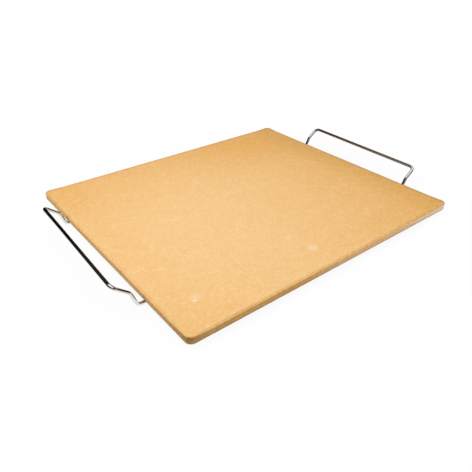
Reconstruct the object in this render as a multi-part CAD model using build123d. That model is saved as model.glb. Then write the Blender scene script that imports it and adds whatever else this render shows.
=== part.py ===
from build123d import *
import math
import os

# A rectangular baking stone that lies loose on a chromed wire carrier. The carrier is two
# bent handle wires, butt-welded to each other under the stone, and two cross wires that
# are welded between their runners. The legs leave the stone a little play, and it lies
# turned in it. Millimetres, +X along the long side of the stone, +Z up, with the origin on
# the table under the middle of the stone.

# Baking stone
stone_length = 406.0
stone_width = 356.0
stone_thickness = 10.0
stone_corner_radius = 7.5
top_bevel_width = 2.6
top_bevel_height = 2.1
bevel_ridge_radius = 0.8
bottom_edge_radius = 1.6

# Wire gauges
handle_wire_diameter = 4.0
cross_wire_diameter = 3.5

# Bent handle wires, on the centre line of the wire. The two are bent a little differently,
# but reach equally far out, and the far corner of the left grip is drawn in.
handle_span = 194.7
right_leg_lean = 8.4
right_leg_rise = 15.8
right_grip_lean = 15.8
right_grip_rise = 12.1
left_leg_lean = 6.0
left_leg_rise = 17.5
left_grip_rise = 14.8
left_far_inset = 4.0
foot_bend_radius = 5.5
knee_bend_radius = 9.0
corner_bend_radius = 7.0

# Cross wires, each side of the middle
cross_wire_offset = 110.0

# Welds
weld_spread = 1.2
weld_reach = 3.0
weld_height_margin = 0.1
seam_upset = 0.5
seam_half_length = 0.8
seam_height_margin = 0.05

# How the carrier lies under the stone, as a turn in degrees and a shift along Y
carrier_turn = -1.33
carrier_shift = -3.3

# Gap that stands for the line contact of the stone with the runners
seat_clearance = 0.3

# Places that follow from the sizes above
wire_radius = handle_wire_diameter / 2
stone_middle_height = handle_wire_diameter + seat_clearance + stone_thickness / 2
runner_side = handle_span / 2
turn_play = runner_side * math.sin(math.radians(abs(carrier_turn)))
runner_end = stone_length / 2 - bottom_edge_radius + turn_play


def top_rim(solid):
    """The closed rim of edges round the highest face of a solid."""
    return solid.faces().sort_by(Axis.Z)[-1].outer_wire().edges()


def baking_stone():
    """A pressed slab: rounded corners, a bevel round the top and a softened bottom edge."""
    slab = Pos(0, 0, stone_middle_height) * Box(stone_length, stone_width, stone_thickness)
    slab = fillet(slab.edges().filter_by(Axis.Z), stone_corner_radius)
    top_face = slab.faces().sort_by(Axis.Z)[-1]
    slab = chamfer(top_rim(slab), top_bevel_width, top_bevel_height, reference=top_face)
    slab = fillet(top_rim(slab), bevel_ridge_radius)
    return fillet(slab.edges().group_by(Axis.Z)[0], bottom_edge_radius)


def foot_place(leg_lean, leg_rise):
    """Where the lines of a runner and its leg meet, for a bend that starts at the runner's end."""
    leg_angle = math.atan2(leg_rise, leg_lean)
    return runner_end + foot_bend_radius * math.tan(leg_angle / 2)


def handle_path(leg_lean, leg_rise, grip_rise, far_inset):
    """Centre line of a handle wire on the right: runner, leg, grip, leg and runner."""
    foot_x = foot_place(leg_lean, leg_rise)
    knee_z = wire_radius + leg_rise
    grip_x = foot_place(right_leg_lean, right_leg_rise) + right_leg_lean + right_grip_lean
    near_side = [
        (0, -runner_side, wire_radius),
        (foot_x, -runner_side, wire_radius),
        (foot_x + leg_lean, -runner_side, knee_z),
        (grip_x, -runner_side, knee_z + grip_rise),
    ]
    inset_slope = far_inset / (leg_rise + grip_rise)
    far_side = [(x, -y - inset_slope * (z - wire_radius), z) for x, y, z in reversed(near_side)]
    bends = [foot_bend_radius, knee_bend_radius, corner_bend_radius]
    return FilletPolyline(*near_side, *far_side, radius=bends + bends[::-1])


def seam_collar(side):
    """Metal pushed out sideways at the butt weld, ground flush above and below."""
    upset_section = Ellipse(wire_radius + seam_upset, wire_radius - seam_height_margin)
    collar = extrude(Plane.YZ * upset_section, seam_half_length)
    return Pos(0, side * runner_side, wire_radius) * collar


def handle_wire(leg_lean, leg_rise, grip_rise, far_inset):
    """A handle wire in one bent length, with half a collar at each runner's end."""
    path = handle_path(leg_lean, leg_rise, grip_rise, far_inset)
    wire = sweep(Plane(origin=path @ 0, z_dir=path % 0) * Circle(wire_radius), path=path)
    print(f"handle wire: {path.length:.1f} mm long, {wire.volume:.1f} mm3,",
          f"section by length {math.pi * wire_radius ** 2 * path.length:.1f} mm3")
    return wire + seam_collar(1) + seam_collar(-1)


def weld_fillet(side):
    """Weld metal that widens a cross wire sideways where it meets a runner."""
    cross_radius = cross_wire_diameter / 2
    toe_y = side * (runner_side - wire_radius - weld_reach)
    toe = Plane(origin=(0, toe_y, 0), x_dir=(1, 0, 0), z_dir=(0, side, 0))
    root = Plane(origin=(0, side * runner_side, 0), x_dir=(1, 0, 0), z_dir=(0, side, 0))
    root_section = Ellipse(cross_radius + weld_spread, wire_radius - weld_height_margin)
    return loft([toe * Circle(cross_radius), root * root_section])


def cross_wire():
    """A straight wire between the runners, coped to their round sides."""
    rod = Rot(90, 0, 0) * Cylinder(cross_wire_diameter / 2, handle_span)
    wire = rod + weld_fillet(1) + weld_fillet(-1)
    for side in (-1, 1):
        runner = Rot(0, 90, 0) * Cylinder(wire_radius, handle_span)
        wire = wire - Pos(0, side * runner_side, 0) * runner
    return Pos(0, 0, wire_radius) * wire


right_handle = handle_wire(right_leg_lean, right_leg_rise, right_grip_rise, 0)
left_handle = handle_wire(left_leg_lean, left_leg_rise, left_grip_rise, left_far_inset)
middle_cross = cross_wire()
carrier_wires = {
    "handle_wire_right": right_handle,
    "handle_wire_left": mirror(left_handle, about=Plane.YZ),
    "cross_wire_right": Pos(cross_wire_offset, 0, 0) * middle_cross,
    "cross_wire_left": Pos(-cross_wire_offset, 0, 0) * middle_cross,
}
carrier_place = Pos(0, carrier_shift, 0) * Rot(0, 0, carrier_turn)

nodes = {name: carrier_place * wire for name, wire in carrier_wires.items()}
nodes["baking_stone"] = baking_stone()

os.makedirs("parts", exist_ok=True)
for name, shape in nodes.items():
    export_step(shape, f"parts/{name}.step")
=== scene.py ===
import math

import bpy
from mathutils import Matrix, Vector


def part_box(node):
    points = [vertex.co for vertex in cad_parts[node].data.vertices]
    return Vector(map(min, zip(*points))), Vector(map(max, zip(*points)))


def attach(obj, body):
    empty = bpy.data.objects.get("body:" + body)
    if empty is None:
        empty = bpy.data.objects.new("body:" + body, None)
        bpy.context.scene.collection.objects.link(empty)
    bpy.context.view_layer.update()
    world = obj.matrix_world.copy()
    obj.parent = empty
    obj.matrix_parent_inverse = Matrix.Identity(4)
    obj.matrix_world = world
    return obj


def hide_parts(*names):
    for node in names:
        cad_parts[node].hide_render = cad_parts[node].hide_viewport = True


# A rectangular baking stone of unglazed clay that lies on a chromed wire carrier. Metres,
# +X along the long side of the stone, +Z up, with the origin on the table.

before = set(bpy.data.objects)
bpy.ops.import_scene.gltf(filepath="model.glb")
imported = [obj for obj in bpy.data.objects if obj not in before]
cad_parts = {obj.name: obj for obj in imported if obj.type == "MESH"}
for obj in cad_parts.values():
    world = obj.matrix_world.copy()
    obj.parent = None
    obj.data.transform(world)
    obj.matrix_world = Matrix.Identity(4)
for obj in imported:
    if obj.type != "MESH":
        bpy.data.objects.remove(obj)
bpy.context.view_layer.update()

MM = 0.001
WHITE = (1.0, 1.0, 1.0, 1.0)

# Baking stone, its outer sizes taken from the frame
stone_low, stone_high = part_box("baking_stone")
stone_corner_radius = 7.5 * MM
top_bevel_width = 2.6 * MM
top_bevel_height = 2.1 * MM
bevel_ridge_radius = 0.8 * MM
side_ridge_radius = 0.5 * MM
bottom_edge_radius = 1.6 * MM
bevel_pinch = 0.55
bevel_pinch_reach = 30.0 * MM
stone_mesh_step = 2.0 * MM

# Wear of the stone: its uneven rim, its chips and its knocked near corner
rim_unevenness = 0.16 * MM
chip_depth = 0.35 * MM
knock_inset_x = 2.4 * MM
knock_inset_y = 1.8 * MM
knock_below_top = 4.0 * MM
knock_radius = 4.2 * MM
knock_depth = 0.7 * MM

# Pale flecks on the baking face: X, Y, radius and strength
pale_flecks = (
    (-169.5 * MM, -137.7 * MM, 3.0 * MM, 0.5),
    (-166.0 * MM, -134.0 * MM, 9.0 * MM, 0.2),
    (-13.6 * MM, -143.8 * MM, 9.0 * MM, 0.3),
)

# Wire gauges, and how finely the wires are meshed
handle_wire_radius = 2.0 * MM
cross_wire_radius = 1.75 * MM
wire_facets = 32
bend_steps = 14
sharp_edge_angle = math.radians(55)

# Bent handle wires, on the centre line of the wire: how far the legs lean and rise, how far
# the grips rise past them, and how far in the grip's far corner is drawn. Both grips reach as
# far out as the right one leans.
handle_span = 194.7 * MM
right_bends = (8.4 * MM, 15.8 * MM, 12.1 * MM, 0.0)
left_bends = (6.0 * MM, 17.5 * MM, 14.8 * MM, 4.0 * MM)
right_grip_lean = 15.8 * MM
foot_bend_radius = 5.5 * MM
knee_bend_radius = 9.0 * MM
corner_bend_radius = 7.0 * MM

# Cross wires and welds
cross_wire_offset = 110.0 * MM
weld_spread = 1.2 * MM
weld_reach = 3.0 * MM
weld_height_margin = 0.1 * MM
seam_upset = 0.5 * MM
seam_half_length = 0.8 * MM

# How the carrier lies under the stone
carrier_turn = math.radians(-1.33)
carrier_shift = -3.3 * MM

# The photograph's camera: where it stands and how it is turned
camera_azimuth = math.radians(-38.28)
camera_elevation = math.radians(32.70)
camera_roll = math.radians(0.10)
camera_distance = 653.84 * MM
camera_shift_right = -7.84 * MM
camera_shift_up = -40.67 * MM
photo_side_pixels = 472
focal_length_pixels = 483.2


class Field:
    """An output socket of a node. Arithmetic on it adds Math nodes to its tree."""

    def __init__(self, tree, socket):
        self.tree = tree
        self.socket = socket

    def output(self, name):
        """Another output of the same node."""
        return Field(self.tree, find_socket(self.socket.node.outputs, name))

    def math(self, operation, *values):
        return self.tree.add("ShaderNodeMath", {"operation": operation}, dict(enumerate(values)))

    def __add__(self, other):
        return self.math("ADD", self, other)

    def __sub__(self, other):
        return self.math("SUBTRACT", self, other)

    def __rsub__(self, other):
        return self.math("SUBTRACT", other, self)

    def __mul__(self, other):
        return self.math("MULTIPLY", self, other)

    def __truediv__(self, other):
        return self.math("DIVIDE", self, other)

    def __pow__(self, other):
        return self.math("POWER", self, other)

    def __abs__(self):
        return self.math("ABSOLUTE", self)

    __radd__ = __add__
    __rmul__ = __mul__

    def ramp(self, low, high):
        """0 below low and 1 above high, with a smooth slope between them."""
        settings = {"interpolation_type": "SMOOTHSTEP"}
        limits = {"Value": self, "From Min": low, "From Max": high}
        return self.tree.add("ShaderNodeMapRange", settings, limits)


def find_socket(sockets, key):
    """A socket by its name, or by its place among the ones in use."""
    in_use = [socket for socket in sockets if socket.enabled]
    if isinstance(key, int):
        return in_use[key]
    return next(socket for socket in in_use if socket.name == key)


class Tree:
    """Adds nodes to a material, a world or a geometry tree."""

    def __init__(self, tree):
        self.tree = tree

    def add(self, kind, settings=None, inputs=None, output=0):
        """Adds a node, sets it, feeds its sockets and returns one of its outputs."""
        node = self.tree.nodes.new(kind)
        for name, value in (settings or {}).items():
            if name == "captures":
                for title, sort in value.items():
                    node.capture_items.new(sort, title)
            else:
                setattr(node, name, value)
        for name, value in (inputs or {}).items():
            socket = find_socket(node.inputs, name)
            if isinstance(value, Field):
                self.tree.links.new(value.socket, socket)
            else:
                socket.default_value = value
        if not len(node.outputs):
            return node
        return Field(self, find_socket(node.outputs, output))

    def vector(self, operation, *values):
        return self.add("ShaderNodeVectorMath", {"operation": operation}, dict(enumerate(values)))

    def parts(self, vector):
        """The X, Y and Z of a vector."""
        split = self.add("ShaderNodeSeparateXYZ", {}, {"Vector": vector})
        return split, split.output("Y"), split.output("Z")

    def join(self, x=0.0, y=0.0, z=0.0):
        return self.add("ShaderNodeCombineXYZ", {}, {"X": x, "Y": y, "Z": z})

    def noise(self, vector, scale, detail=2.0, roughness=0.5):
        values = {"Vector": vector, "Scale": scale, "Detail": detail, "Roughness": roughness}
        return self.add("ShaderNodeTexNoise", {}, values)

    def blend(self, first, second, factor):
        """One colour going over into another as factor goes from 0 to 1."""
        values = {"Factor": factor, "A": first, "B": second}
        return self.add("ShaderNodeMix", {"data_type": "RGBA"}, values, "Result")

    def mix(self, first, second, factor):
        """One shader going over into another as factor goes from 0 to 1."""
        return self.add("ShaderNodeMixShader", {}, {"Fac": factor, 1: first, 2: second})

    def attribute(self, name, output="Fac"):
        """An attribute of the mesh, as a shader reads it."""
        return self.add("ShaderNodeAttribute", {"attribute_name": name}, output=output)


def tone(red, green, blue):
    """A colour given in screen values from 0 to 255, as the light values of a shader."""
    shares = [value / 255 for value in (red, green, blue)]
    return [s / 12.92 if s < 0.04045 else ((s + 0.055) / 1.055) ** 2.4 for s in shares] + [1.0]


def material_tree(name):
    material = bpy.data.materials.new(name)
    material.use_nodes = True
    material.node_tree.nodes.clear()
    return material, Tree(material.node_tree)


def ceramic_finish():
    """Unglazed sandy clay, deeper towards its rim, paler in the middle where a sheen is painted."""
    material, t = material_tree("unglazed_ceramic")
    place = t.add("ShaderNodeTexCoord", output="Object")
    x, y, z = t.parts(place)

    from_right = stone_high.x - x
    from_back = stone_high.y - y
    from_left = x - stone_low.x
    from_front = y - stone_low.y

    # Pale in the middle of the left half and deeper to the right and the back: a painted sheen
    # and painted light falloff. Deeper towards the rim and a little uneven: the clay's own tone
    drift = t.noise(place, 7.0, 3.0)
    sheen_fade_and_rim_depth = (
        (x + 76 * MM).ramp(0.0, 400 * MM) * 1.05 + y.ramp(0.0, 260 * MM) * 0.9
        + (1 - from_left.ramp(0.0, 90 * MM)) * 0.28 + (1 - from_front.ramp(0.0, 97 * MM)) * 0.19
        + (drift - 0.5) * 0.4
    )
    sheen_fade_and_rim_depth = t.add("ShaderNodeClamp", {}, {"Value": sheen_fade_and_rim_depth})
    # Darker towards the right end of the stone
    darker_right_end = 1 - (from_right + (drift - 0.5) * 25 * MM).ramp(0.0, 62 * MM)
    colour = t.blend(tone(244, 199, 136), tone(234, 176, 95), sheen_fade_and_rim_depth)
    colour = t.blend(colour, tone(222, 168, 87), darker_right_end)

    # A thin browner line along the back and the right rim: painted shade on the rounded ridges
    # that face away from the light
    rim_distance = from_right.math("MINIMUM", from_right, from_back)
    rim_shade_line = (1 - rim_distance.ramp(4.0 * MM, 7.5 * MM)) * (0.3 + drift)
    colour = t.blend(colour, tone(176, 124, 70), rim_shade_line * 0.6)

    # The bevel and the side faces: deeper and browner towards the near corner, and paler at
    # the front right, where a sheen is painted on the front face
    bevel = t.attribute("bevel")
    side = t.attribute("side")
    in_front = 1 - from_front.ramp(1.0 * MM, 4.0 * MM)
    front = side * in_front
    from_corner = t.vector("LENGTH", t.join(from_left, from_front)).output("Value")
    scorch = t.noise(place, 60.0, 3.0, 0.6)
    scorched = (scorch.ramp(0.42, 0.62) * 0.4 + 0.6) * (1 - from_corner.ramp(8 * MM, 90 * MM))
    right_end = (x - 60 * MM).ramp(0.0, 120 * MM)
    colour = t.blend(colour, tone(222, 164, 88), bevel * in_front * (0.5 + right_end * 0.2))
    colour = t.blend(colour, tone(206, 158, 96), bevel * in_front * right_end * 0.45)
    back_end = (1 - from_left.ramp(1.0 * MM, 4.0 * MM)) * y.ramp(60 * MM, 160 * MM)
    colour = t.blend(colour, tone(206, 158, 96), bevel * back_end * 0.4)
    colour = t.blend(colour, tone(232, 179, 100), side * 0.85)
    # Painted light: the left side is paler towards the back, where it is less shaded
    colour = t.blend(colour, tone(246, 214, 170), side * back_end * 0.4)
    colour = t.blend(colour, tone(215, 162, 86), front)
    # Painted sheen: the front face grows paler and greyer towards the right
    colour = t.blend(colour, tone(238, 188, 130), front * (x + 80 * MM).ramp(0.0, 110 * MM))
    colour = t.blend(colour, tone(249, 220, 186), front * right_end * 0.9)
    colour = t.blend(colour, tone(200, 150, 74), side * scorched)
    colour = t.blend(colour, tone(160, 116, 52), side * (1 - from_corner.ramp(6 * MM, 32 * MM)) * 0.5)
    # Painted shade: the bottom edge, which faces the table under the stone, is darker
    hem = t.attribute("hem")
    colour = t.blend(colour, tone(140, 98, 48), hem * 0.85)
    # Painted highlight along the ridge of the top's edge, uneven and fading out towards the right
    ridge = t.attribute("ridge")
    ridge_highlight = ridge * drift.ramp(0.35, 0.65) * (1 - x.ramp(0.0, 150 * MM))
    colour = t.blend(colour, tone(255, 226, 178), ridge_highlight * 0.3)

    # Sand: soft clouds, grit and single grains, each both paler and darker than the clay
    clouds = t.noise(place, 75.0, 3.0)
    grit = t.noise(place, 330.0, 2.0, 0.6)
    grains = t.noise(place, 900.0, 2.0, 0.7)
    for pattern, strength in ((clouds, 0.12), (grit, 0.27), (grains, 0.26)):
        colour = t.blend(colour, tone(255, 232, 190), pattern.ramp(0.5, 0.75) * strength)
        colour = t.blend(colour, tone(176, 122, 64), (1 - pattern.ramp(0.25, 0.5)) * (strength * 0.4))

    # Iron specks, one here and there
    cells = t.add("ShaderNodeTexVoronoi", {}, {"Vector": place, "Scale": 95.0, "Randomness": 1.0})
    chance = t.parts(cells.output("Color"))[0]
    speck = (1 - cells.ramp(0.02, 0.07)) * chance.ramp(0.86, 0.88)
    colour = t.blend(colour, tone(132, 84, 44), speck * 0.55)

    # Pale rubbed flecks near the front
    for fleck_x, fleck_y, radius, strength in pale_flecks:
        reach = t.vector("DISTANCE", place, (fleck_x, fleck_y, stone_high.z)).output("Value")
        fleck = 1 - (reach + (grit - 0.5) * radius * 1.5).ramp(0.2 * radius, radius)
        colour = t.blend(colour, tone(255, 240, 214), fleck * strength)

    # Chips show fresh clay, and the knocked corner is burnt
    chipped = t.attribute("chipped")
    knocked = t.attribute("knocked")
    colour = t.blend(colour, tone(214, 150, 84), chipped * 0.7)
    colour = t.blend(colour, tone(190, 130, 48), knocked * 0.75)

    roughness = 0.78 + grains * 0.12 + clouds * 0.06
    height = grains * 0.5 + grit * 0.6 + clouds * 0.5
    bump = t.add("ShaderNodeBump", {}, {"Strength": 0.35, "Distance": 0.25 * MM, "Height": height})
    shader = t.add("ShaderNodeBsdfPrincipled", {}, {
        "Base Color": colour, "Roughness": roughness, "IOR": 1.45, "Normal": bump,
    })
    t.add("ShaderNodeOutputMaterial", {}, {"Surface": shader})
    return material


def chrome_finish():
    """Bright chrome over drawn wire: faint draw marks, handling smudges and duller welds."""
    material, t = material_tree("chromed_wire")
    straight = t.attribute("straightened", "Vector")
    weld = t.attribute("weld")
    place = t.add("ShaderNodeTexCoord", output="Object")

    along = t.vector("MULTIPLY", straight, (1.0, 1.0, 0.02))
    draw_marks = t.noise(along, 1800.0, 2.0)
    smudges = t.noise(place, 55.0, 4.0, 0.6)
    pebble = t.noise(place, 900.0, 2.0)
    lumps = t.noise(place, 1600.0, 3.0)

    roughness = 0.05 + smudges.ramp(0.45, 0.75) * 0.07 + draw_marks * 0.03 + weld * 0.2
    bright = tone(209, 209, 212)
    dull = tone(190, 187, 182)
    colour = t.blend(bright, dull, smudges.ramp(0.5, 0.8) * 0.35 + weld * 0.5)
    height = draw_marks * 0.25 + pebble * 0.15 + lumps * weld * 3.0
    bump = t.add("ShaderNodeBump", {}, {"Strength": 0.07, "Distance": 0.05 * MM, "Height": height})
    shader = t.add("ShaderNodeBsdfPrincipled", {}, {
        "Base Color": colour, "Metallic": 1.0, "Roughness": roughness, "Normal": bump,
    })
    t.add("ShaderNodeOutputMaterial", {}, {"Surface": shader})
    return material


def geometry_tree(name, inputs):
    """A geometry tree with named inputs, its builder and the inputs by name."""
    group = bpy.data.node_groups.new(name, "GeometryNodeTree")
    for title, sort in inputs.items():
        group.interface.new_socket(title, in_out="INPUT", socket_type=sort)
    group.interface.new_socket("Geometry", in_out="OUTPUT", socket_type="NodeSocketGeometry")
    t = Tree(group)
    first = t.add("NodeGroupInput")
    return t, {title: first.output(title) for title in inputs}


def close_tree(t, shape, finish):
    """Ends a geometry tree: real mesh, smooth but for its sharp edges, with its material."""
    angle = t.add("GeometryNodeInputMeshEdgeAngle")
    sharp = angle.math("GREATER_THAN", angle, sharp_edge_angle)
    shape = t.add("GeometryNodeRealizeInstances", {}, {"Geometry": shape})
    all_faces = {"Geometry": shape, "Shade Smooth": True}
    shape = t.add("GeometryNodeSetShadeSmooth", {"domain": "FACE"}, all_faces)
    sharp_edges = {"Geometry": shape, "Selection": sharp, "Shade Smooth": False}
    shape = t.add("GeometryNodeSetShadeSmooth", {"domain": "EDGE"}, sharp_edges)
    shape = t.add("GeometryNodeSetMaterial", {}, {"Geometry": shape, "Material": finish})
    t.add("NodeGroupOutput", {}, {"Geometry": shape})


def store(t, shape, name, sort, value):
    values = {"Geometry": shape, "Name": name, "Value": value}
    return t.add("GeometryNodeStoreNamedAttribute", {"data_type": sort}, values)


def named(t, name):
    settings = {"data_type": "FLOAT"}
    return t.add("GeometryNodeInputNamedAttribute", settings, {"Name": name}, "Attribute")


def captured(t, shape, title, sort, value):
    """A shape with a value that is taken as it stands there and kept as a second output."""
    settings = {"captures": {title: sort}}
    return t.add("GeometryNodeCaptureAttribute", settings, {"Geometry": shape, title: value})


def grown_mesh(name, base, t, values):
    """The plain mesh that a geometry tree makes of a base mesh."""
    start = bpy.data.objects.new(name, base)
    bpy.context.scene.collection.objects.link(start)
    modifier = start.modifiers.new(name, "NODES")
    modifier.node_group = t.tree
    for item in t.tree.interface.items_tree:
        if item.in_out == "INPUT" and item.name in values:
            modifier[item.identifier] = values[item.name]
    depsgraph = bpy.context.evaluated_depsgraph_get()
    mesh = bpy.data.meshes.new_from_object(
        start.evaluated_get(depsgraph), preserve_all_data_layers=True, depsgraph=depsgraph,
    )
    bpy.data.objects.remove(start)
    mesh.name = name
    return mesh


def add_piece(name, mesh, body, node):
    piece = bpy.data.objects.new(name, mesh)
    bpy.context.scene.collection.objects.link(piece)
    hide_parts(node)
    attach(piece, body)
    return piece


def slab_profile():
    """The stone's section from the top's core to the bottom's: inset, height and zone."""
    top = stone_high.z
    bottom = stone_low.z
    slope = math.atan2(top_bevel_height, top_bevel_width)
    bevel_length = math.hypot(top_bevel_height, top_bevel_width)
    ridge_run = bevel_ridge_radius * math.tan(slope / 2)
    side_run = side_ridge_radius * math.tan((math.pi / 2 - slope) / 2)

    rings = []
    for share in (1.0, 0.8, 0.62, 0.48):
        rings.append((stone_corner_radius * share, top, "face"))
    ridge_steps = 4
    for step in range(ridge_steps + 1):
        turn = slope * step / ridge_steps
        inset = top_bevel_width + ridge_run - bevel_ridge_radius * math.sin(turn)
        rings.append((inset, top - bevel_ridge_radius * (1 - math.cos(turn)), "ridge"))
    for share in (0.3, 0.5, 0.7):
        along = ridge_run + (bevel_length - ridge_run - side_run) * share
        inset = top_bevel_width - along * math.cos(slope)
        rings.append((inset, top - along * math.sin(slope), "bevel"))
    side_steps = 4
    for step in range(side_steps + 1):
        turn = slope + (math.pi / 2 - slope) * step / side_steps
        inset = side_ridge_radius * (1 - math.sin(turn))
        rise = top - top_bevel_height - side_run + side_ridge_radius * math.cos(turn)
        rings.append((inset, rise, "bevel" if step < side_steps / 2 else "side edge"))
    side_top = top - top_bevel_height - side_run
    side_bottom = bottom + bottom_edge_radius
    for share in (0.15, 0.3, 0.45, 0.6, 0.75, 0.9):
        rings.append((0.0, side_top + (side_bottom - side_top) * share, "side"))
    bottom_steps = 5
    for step in range(bottom_steps + 1):
        turn = math.pi / 2 * step / bottom_steps
        inset = bottom_edge_radius * (1 - math.cos(turn))
        rings.append((inset, bottom + bottom_edge_radius * (1 - math.sin(turn)), "bottom edge"))
    for share in (0.4, 0.7, 1.0):
        rings.append((stone_corner_radius * share, bottom, "underside"))
    return rings


# How far each zone of the stone wears at its rim, which zones are its bevel and its side, and which
# carry the painted ridge highlight and the painted shade of the bottom edge
zone_shares = {
    "rim": {"ridge": 1.0, "bevel": 1.0, "side edge": 1.0, "side": 0.3, "bottom edge": 0.6},
    "ridge": {"ridge": 1.0},
    "bevel": {"bevel": 1.0},
    "side": {"side edge": 1.0, "side": 1.0, "bottom edge": 1.0},
    "hem": {"bottom edge": 1.0},
}


def slab_mesh():
    """The stone's closed mesh: a flat core grid, top and bottom, joined by rings round its rim."""
    core_x = stone_high.x - stone_corner_radius
    core_y = stone_high.y - stone_corner_radius
    cells_x = round(2 * core_x / stone_mesh_step)
    cells_y = round(2 * core_y / stone_mesh_step)
    corner_steps = 14

    # Columns round the rim, counter-clockwise: the core grid's point and the way outwards
    sides = [
        ([(i, 0) for i in range(cells_x + 1)], (0, -1)),
        ([(cells_x, j) for j in range(cells_y + 1)], (1, 0)),
        ([(i, cells_y) for i in range(cells_x, -1, -1)], (0, 1)),
        ([(0, j) for j in range(cells_y, -1, -1)], (-1, 0)),
    ]
    columns = []
    for places, (out_x, out_y) in sides:
        columns += [(place, (out_x, out_y)) for place in places]
        start = math.atan2(out_y, out_x)
        for step in range(1, corner_steps):
            turn = start + math.pi / 2 * step / corner_steps
            columns.append((places[-1], (math.cos(turn), math.sin(turn))))

    points = []
    zones = []

    def core_point(place):
        return -core_x + 2 * core_x * place[0] / cells_x, -core_y + 2 * core_y * place[1] / cells_y

    def bevel_share(place):
        """How wide the bevel is at a column: it pinches towards each corner of the stone."""
        x, y = core_point(place)
        from_corner = math.hypot(core_x - abs(x), core_y - abs(y))
        return 1 - bevel_pinch * max(0.0, 1 - from_corner / bevel_pinch_reach) ** 2

    def add_core(height):
        start = len(points)
        for j in range(cells_y + 1):
            for i in range(cells_x + 1):
                points.append((*core_point((i, j)), height))
                zones.append("face")
        return start

    faces = []
    top_start = add_core(stone_high.z)
    bottom_start = add_core(stone_low.z)
    for j in range(cells_y):
        for i in range(cells_x):
            corner = j * (cells_x + 1) + i
            square = [corner, corner + 1, corner + cells_x + 2, corner + cells_x + 1]
            faces.append([top_start + k for k in square])
            faces.append([bottom_start + k for k in reversed(square)])

    def core_ring(start):
        return [start + place[1] * (cells_x + 1) + place[0] for place, _ in columns]

    profile = slab_profile()
    rings = [core_ring(top_start)]
    for inset, height, zone in profile[1:-1]:
        start = len(points)
        for place, (out_x, out_y) in columns:
            x, y = core_point(place)
            share = bevel_share(place) if zone in ("ridge", "bevel", "side edge") else 1.0
            reach = stone_corner_radius - inset * share
            drop = (stone_high.z - height) * share
            points.append((x + out_x * reach, y + out_y * reach, stone_high.z - drop))
            zones.append(zone)
        rings.append(list(range(start, len(points))))
    rings.append(core_ring(bottom_start))

    for upper, lower in zip(rings, rings[1:]):
        for k in range(len(columns)):
            after = (k + 1) % len(columns)
            loop = [upper[after], upper[k], lower[k], lower[after]]
            faces.append([v for n, v in enumerate(loop) if v != loop[n - 1]])

    mesh = bpy.data.meshes.new("baking_stone_slab")
    mesh.from_pydata(points, [], faces)
    for name, shares in zone_shares.items():
        values = [shares.get(zone, 0.0) for zone in zones]
        mesh.attributes.new(name, "FLOAT", "POINT").data.foreach_set("value", values)
    mesh.validate()
    return mesh


def worn_clay_tree():
    """Wears a slab's mesh inwards: a little uneven, with small chips and one knocked corner."""
    t, given = geometry_tree("worn_clay", {
        "Slab": "NodeSocketGeometry", "Unevenness": "NodeSocketFloat",
        "Chip Depth": "NodeSocketFloat", "Knock": "NodeSocketVector",
        "Knock Radius": "NodeSocketFloat", "Knock Depth": "NodeSocketFloat",
        "Finish": "NodeSocketMaterial",
    })
    place = t.add("GeometryNodeInputPosition")
    normal = t.add("GeometryNodeInputNormal")
    rim = named(t, "rim")
    waver = t.noise(place, 28.0, 3.0)
    pits = t.noise(place, 210.0, 2.0)
    rarity = t.noise(place, 22.0, 1.0)
    chips = pits.ramp(0.62, 0.72) * rarity.ramp(0.52, 0.6) * rim
    reach = t.vector("DISTANCE", place, given["Knock"]).output("Value")
    reach = reach + (pits - 0.5) * given["Knock Radius"] * 0.8
    knock = 1 - reach.ramp(given["Knock Radius"] * 0.4, given["Knock Radius"])
    sink = waver * rim * given["Unevenness"] + chips * given["Chip Depth"]
    sink = sink + knock * given["Knock Depth"]
    offset = t.add("ShaderNodeVectorMath", {"operation": "SCALE"}, {0: normal, "Scale": 0 - sink})
    shape = store(t, given["Slab"], "chipped", "FLOAT", chips)
    shape = store(t, shape, "knocked", "FLOAT", knock)
    shape = t.add("GeometryNodeSetPosition", {}, {"Geometry": shape, "Offset": offset})
    close_tree(t, shape, given["Finish"])
    return t


def polyline(name, points, bends, welds):
    """A chain of points as a mesh, with the bend radius and the weld share of each point."""
    mesh = bpy.data.meshes.new(name)
    mesh.from_pydata(points, [(k, k + 1) for k in range(len(points) - 1)], [])
    mesh.attributes.new("bend_radius", "FLOAT", "POINT").data.foreach_set("value", bends)
    mesh.attributes.new("weld", "FLOAT", "POINT").data.foreach_set("value", welds)
    return mesh


def swept_wire(t, given):
    """The mesh of a round wire along the centre line, and the fields that belong to it."""
    line = t.add("GeometryNodeMeshToCurve", {}, {"Mesh": given["Centre Line"]})
    path = t.add("GeometryNodeFilletCurve", {"mode": "POLY"}, {
        "Curve": line, "Radius": named(t, "bend_radius"), "Count": bend_steps, "Limit Radius": True,
    })
    travelled = t.add("GeometryNodeSplineParameter", output="Length")
    rail = captured(t, path, "Travelled", "FLOAT", travelled)
    circle_values = {"Resolution": wire_facets, "Radius": given["Wire Radius"]}
    circle = t.add("GeometryNodeCurvePrimitiveCircle", {}, circle_values)
    section_place = t.add("GeometryNodeInputPosition")
    section = captured(t, circle, "Section", "VECTOR", section_place)
    wire = t.add("GeometryNodeCurveToMesh", {}, {
        "Curve": rail, "Profile Curve": section, "Fill Caps": True,
    })
    across_x, across_y, _ = t.parts(section.output("Section"))
    straight = t.join(across_x, across_y, rail.output("Travelled"))
    return store(t, wire, "straightened", "FLOAT_VECTOR", straight)


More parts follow.
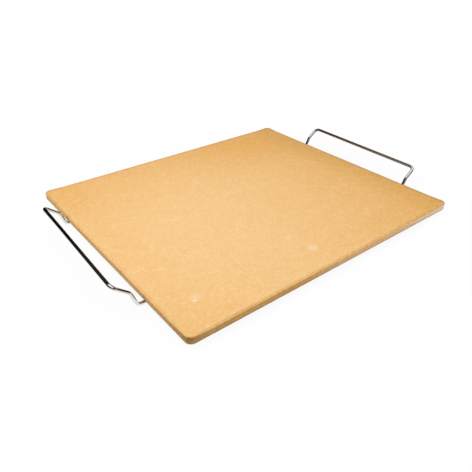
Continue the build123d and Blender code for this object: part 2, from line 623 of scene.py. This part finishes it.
def handle_wire_tree():
    """A bent wire with a bead of upset metal at its seam, where X is nil."""
    t, given = geometry_tree("bent_handle_wire", {
        "Centre Line": "NodeSocketGeometry", "Wire Radius": "NodeSocketFloat",
        "Bead Height": "NodeSocketFloat", "Bead Half Length": "NodeSocketFloat",
        "Finish": "NodeSocketMaterial",
    })
    wire = swept_wire(t, given)
    x = t.parts(t.add("GeometryNodeInputPosition"))[0]
    normal_y = t.parts(t.add("GeometryNodeInputNormal"))[1]
    share = x / given["Bead Half Length"]
    bead = (1 - t.add("ShaderNodeClamp", {}, {"Value": share * share})) ** 0.5
    outwards = t.join(0.0, normal_y * bead * given["Bead Height"], 0.0)
    wire = t.add("GeometryNodeSetPosition", {}, {"Geometry": wire, "Offset": outwards})
    close_tree(t, wire, given["Finish"])
    return t


def foot_place(leg_lean, leg_rise):
    """Where the lines of a runner and its leg meet, for a bend that starts at its end."""
    turn_play = handle_span / 2 * math.sin(abs(carrier_turn))
    leg_angle = math.atan2(leg_rise, leg_lean)
    runner_end = stone_high.x - bottom_edge_radius + turn_play
    return runner_end + foot_bend_radius * math.tan(leg_angle / 2)


def handle_wire_mesh(tree, finish, bends_given):
    """A handle wire on the right, before it is placed: runner, leg, grip, leg and runner."""
    leg_lean, leg_rise, grip_rise, far_inset = bends_given
    runner_side = handle_span / 2
    foot_x = foot_place(leg_lean, leg_rise)
    knee_z = handle_wire_radius + leg_rise
    grip_x = foot_place(*right_bends[:2]) + right_bends[0] + right_grip_lean
    bead_shares = (0.0, 0.3, 0.55, 0.75, 0.88, 0.96, 1.0, 1.6, 4.0)
    near = [(share * seam_half_length, -runner_side, handle_wire_radius) for share in bead_shares]
    bends = [0.0] * len(near)
    welds = [1.0] * (len(near) - 2) + [0.4, 0.0]
    near += [
        (foot_x, -runner_side, handle_wire_radius),
        (foot_x + leg_lean, -runner_side, knee_z),
        (grip_x, -runner_side, knee_z + grip_rise),
    ]
    bends += [foot_bend_radius, knee_bend_radius, corner_bend_radius]
    welds += [0.0] * 3
    inset_slope = far_inset / (leg_rise + grip_rise)
    far = [(x, -y - inset_slope * (z - handle_wire_radius), z) for x, y, z in reversed(near)]
    base = polyline("handle_centre_line", near + far, bends + bends[::-1], welds + welds[::-1])
    return grown_mesh("handle_wire", base, tree, {
        "Wire Radius": handle_wire_radius, "Bead Height": seam_upset,
        "Bead Half Length": seam_half_length, "Finish": finish,
    })


def cross_wire_tree():
    """A straight wire along Y that widens into weld metal and ends on the runners' round sides."""
    t, given = geometry_tree("welded_cross_wire", {
        "Centre Line": "NodeSocketGeometry", "Wire Radius": "NodeSocketFloat",
        "Runner Radius": "NodeSocketFloat", "Runner Side": "NodeSocketFloat",
        "Weld Reach": "NodeSocketFloat", "Weld Spread": "NodeSocketFloat",
        "Weld Lift": "NodeSocketFloat", "Finish": "NodeSocketMaterial",
    })
    wire = swept_wire(t, given)
    x, y, z = t.parts(t.add("GeometryNodeInputPosition"))
    weld = named(t, "weld")
    flare = weld ** 1.5
    wide_x = x * (1 + flare * given["Weld Spread"] / given["Wire Radius"])
    high_z = z * (1 + flare * given["Weld Lift"] / given["Wire Radius"])
    sag = (given["Runner Radius"] ** 2 - high_z * high_z) ** 0.5
    side = y.math("SIGN", y)
    contact = given["Runner Side"] - sag
    toe = given["Runner Side"] - given["Runner Radius"] - given["Weld Reach"]
    welded_y = side * (toe + (contact - toe) * weld)
    in_weld = weld.math("GREATER_THAN", weld, 0.001)
    new_y = y + (welded_y - y) * in_weld
    place = t.join(wide_x, new_y, high_z)
    wire = t.add("GeometryNodeSetPosition", {}, {"Geometry": wire, "Position": place})
    close_tree(t, wire, given["Finish"])
    return t


def cross_wire_mesh(tree, finish):
    """A cross wire through the origin, before it is placed."""
    runner_side = handle_span / 2
    toe = runner_side - handle_wire_radius - weld_reach
    weld_shares = (1.0, 0.85, 0.7, 0.55, 0.4, 0.25, 0.1)
    near = [(0.0, -(toe + weld_reach * share), 0.0) for share in weld_shares]
    near += [(0.0, -toe, 0.0), (0.0, -toe + weld_reach, 0.0)]
    welds = [*weld_shares, 0.0, 0.0]
    far = [(x, -y, z) for x, y, z in reversed(near)]
    base = polyline("cross_centre_line", near + far, [0.0] * len(near) * 2, welds + welds[::-1])
    return grown_mesh("cross_wire", base, tree, {
        "Wire Radius": cross_wire_radius, "Runner Radius": handle_wire_radius,
        "Runner Side": runner_side, "Weld Reach": weld_reach, "Weld Spread": weld_spread,
        "Weld Lift": handle_wire_radius - weld_height_margin - cross_wire_radius, "Finish": finish,
    })


def placed(mesh, name, *matrices):
    """A copy of a mesh, moved by the matrices in turn, with its faces outwards."""
    copy = mesh.copy()
    copy.name = name
    for matrix in matrices:
        copy.transform(matrix)
        if matrix.determinant() < 0:
            copy.flip_normals()
    return copy


def build_stone(finish):
    knock = Vector((
        stone_low.x + knock_inset_x, stone_low.y + knock_inset_y, stone_high.z - knock_below_top,
    ))
    mesh = grown_mesh("stone_slab", slab_mesh(), worn_clay_tree(), {
        "Unevenness": rim_unevenness, "Chip Depth": chip_depth, "Knock": knock,
        "Knock Radius": knock_radius, "Knock Depth": knock_depth, "Finish": finish,
    })
    add_piece("stone_slab", mesh, "stone", "baking_stone")


def build_carrier(finish):
    carrier_place = Matrix.Translation((0, carrier_shift, 0)) @ Matrix.Rotation(carrier_turn, 4, "Z")
    mirror = Matrix.Diagonal((-1, 1, 1, 1))
    handle_tree = handle_wire_tree()
    right_handle = handle_wire_mesh(handle_tree, finish, right_bends)
    left_handle = handle_wire_mesh(handle_tree, finish, left_bends)
    cross = cross_wire_mesh(cross_wire_tree(), finish)
    raised = Matrix.Translation((cross_wire_offset, 0, handle_wire_radius))
    lowered = Matrix.Translation((-cross_wire_offset, 0, handle_wire_radius))
    wires = {
        "right_handle_wire": (right_handle, "handle_wire_right", [carrier_place]),
        "left_handle_wire": (left_handle, "handle_wire_left", [mirror, carrier_place]),
        "right_cross_wire": (cross, "cross_wire_right", [raised, carrier_place]),
        "left_cross_wire": (cross, "cross_wire_left", [lowered, carrier_place]),
    }
    for name, (mesh, node, moves) in wires.items():
        add_piece(name, placed(mesh, name, *moves), "carrier", node)


def add_camera():
    back = Vector((
        math.sin(camera_azimuth) * math.cos(camera_elevation),
        -math.cos(camera_azimuth) * math.cos(camera_elevation),
        math.sin(camera_elevation),
    ))
    level = Vector((math.cos(camera_azimuth), math.sin(camera_azimuth), 0))
    upright = back.cross(level)
    right = math.cos(camera_roll) * level + math.sin(camera_roll) * upright
    up = math.cos(camera_roll) * upright - math.sin(camera_roll) * level
    place = camera_distance * back + camera_shift_right * right + camera_shift_up * up
    camera = bpy.data.objects.new("camera", bpy.data.cameras.new("camera"))
    bpy.context.scene.collection.objects.link(camera)
    camera.data.sensor_width = 36.0
    camera.data.lens = camera.data.sensor_width * focal_length_pixels / photo_side_pixels
    camera.data.clip_start = 10 * MM
    turn = Matrix((right, up, back)).transposed().to_4x4()
    camera.matrix_world = Matrix.Translation(place) @ turn
    bpy.context.scene.camera = camera


def add_floor():
    """A pale table that is white in the picture and keeps a soft shadow."""
    half = 4.0
    mesh = bpy.data.meshes.new("table_top")
    corners = [(-half, -half, 0), (half, -half, 0), (half, half, 0), (-half, half, 0)]
    mesh.from_pydata(corners, [], [(0, 1, 2, 3)])
    floor = bpy.data.objects.new("table_top", mesh)
    bpy.context.scene.collection.objects.link(floor)
    material, t = material_tree("pale_table")
    rays = t.add("ShaderNodeLightPath")
    place = t.add("ShaderNodeTexCoord", output="Object")
    x, y, _ = t.parts(place)
    paint = t.add("ShaderNodeBsdfDiffuse", {}, {"Color": (0.65, 0.65, 0.65, 1.0)})
    bright_paint = t.add("ShaderNodeBsdfDiffuse", {}, {"Color": (0.9, 0.9, 0.9, 1.0)})
    white = t.add("ShaderNodeEmission", {}, {"Color": WHITE, "Strength": 1.0})
    dark = t.add("ShaderNodeEmission", {}, {"Color": (0.05, 0.05, 0.05, 1.0), "Strength": 1.0})

    # In the picture the table is white, and a faint shadow stays close to the object
    from_middle = t.vector("LENGTH", t.join(x * 0.85, y)).output("Value")
    shadow_share = (1 - from_middle.ramp(200 * MM, 300 * MM)) * 0.08
    picture = t.mix(white, bright_paint, shadow_share)

    # The wires mirror a table that is lit at the object's left and far right, and dim elsewhere
    left_part = 1 - (x + 120 * MM).ramp(0.0, 100 * MM)
    far_left = (0 - x).ramp(235 * MM, 290 * MM) * (0.55 + y.ramp(-120 * MM, -40 * MM) * 0.4)
    lit_share = left_part * (1 - far_left) * (1 - y.ramp(108 * MM, 150 * MM))
    lit_share = lit_share + x.ramp(245 * MM, 330 * MM) * 0.6
    lit = t.add("ShaderNodeEmission", {}, {"Color": WHITE, "Strength": 1.15})
    mirrored = t.mix(dark, lit, lit_share)
    surface = t.mix(paint, mirrored, rays.output("Is Glossy Ray"))
    surface = t.mix(surface, picture, rays.output("Is Camera Ray"))
    t.add("ShaderNodeOutputMaterial", {}, {"Surface": surface})
    mesh.materials.append(material)


def add_lamp(name, place, turn, size_x, size_y, energy):
    """A rectangular lamp at a place, turned as given, that only lights: it isn't mirrored."""
    lamp = bpy.data.lights.new(name, "AREA")
    lamp.shape = "RECTANGLE"
    lamp.size = size_x
    lamp.size_y = size_y
    lamp.energy = energy
    holder = bpy.data.objects.new(name, lamp)
    bpy.context.scene.collection.objects.link(holder)
    holder.location = place
    holder.rotation_euler = turn
    holder.visible_glossy = False


def add_lamps():
    """A large soft lamp overhead, low ones in front and at the left, and what the wires mirror."""
    add_lamp("overhead_lamp", (-0.25, 0.05, 1.0), (0, math.radians(-8), 0), 1.2, 1.1, 11.8)
    add_lamp("front_lamp", (0.5, -1.0, 0.3), (math.radians(75), 0, math.radians(27)), 0.8, 0.4, 3.6)
    add_lamp("left_lamp", (-1.1, 0.3, 0.25), (math.radians(77), 0, math.radians(-105)), 0.8, 0.3, 1.0)

    world = bpy.data.worlds.new("studio")
    bpy.context.scene.world = world
    world.use_nodes = True
    world.node_tree.nodes.clear()
    t = Tree(world.node_tree)
    rays = t.add("ShaderNodeLightPath")
    direction = t.add("ShaderNodeTexCoord", output="Generated")
    x, y, z = t.parts(direction)

    # What the wires mirror: a soft box overhead in a dark room, with a dim wall behind and
    # paler ones low in front and at the right
    across = x / z.math("MAXIMUM", z, 0.05)
    along = y / z.math("MAXIMUM", z, 0.05)
    soft_box = (across + 0.7).ramp(-0.1, 0.1) * (1 - (across - 0.45).ramp(-0.1, 0.1))
    soft_box = soft_box * (along + 0.8).ramp(-0.15, 0.15) * (1 - (along - 0.5).ramp(-0.08, 0.08))
    behind = (1 - y.ramp(0.55, 0.63)) * 0.13 + (1 - y.ramp(0.78, 0.84)) * 0.02
    behind = behind * y.ramp(0.2, 0.4) * z.ramp(0.12, 0.26)
    front = (0 - y).ramp(0.55, 0.7) * (1 - z.ramp(0.25, 0.4)) * (1 - x.ramp(0.4, 0.6)) * 0.45
    right = x.ramp(0.35, 0.5) * (1 - abs(y).ramp(0.35, 0.5)) * 0.5
    right = right * z.ramp(0.2, 0.35) * (1 - z.ramp(0.5, 0.7))
    level = behind + front + right + 0.006
    wall = t.blend((0.0, 0.0, 0.0, 1.0), (1.0, 0.93, 0.82, 1.0), level)
    wall = t.blend(wall, (1.6, 1.6, 1.6, 1.0), soft_box)
    mirrored = t.add("ShaderNodeBackground", {}, {"Color": wall, "Strength": 1.0})
    fill = t.add("ShaderNodeBackground", {}, {"Color": WHITE, "Strength": 0.16})
    white = t.add("ShaderNodeBackground", {}, {"Color": WHITE, "Strength": 1.0})
    lit = t.mix(fill, mirrored, rays.output("Is Glossy Ray"))
    backdrop = t.mix(lit, white, rays.output("Is Camera Ray"))
    t.add("ShaderNodeOutputWorld", {}, {"Surface": backdrop})


bpy.context.scene.view_settings.view_transform = "Standard"
build_stone(ceramic_finish())
build_carrier(chrome_finish())
add_camera()
add_floor()
add_lamps()
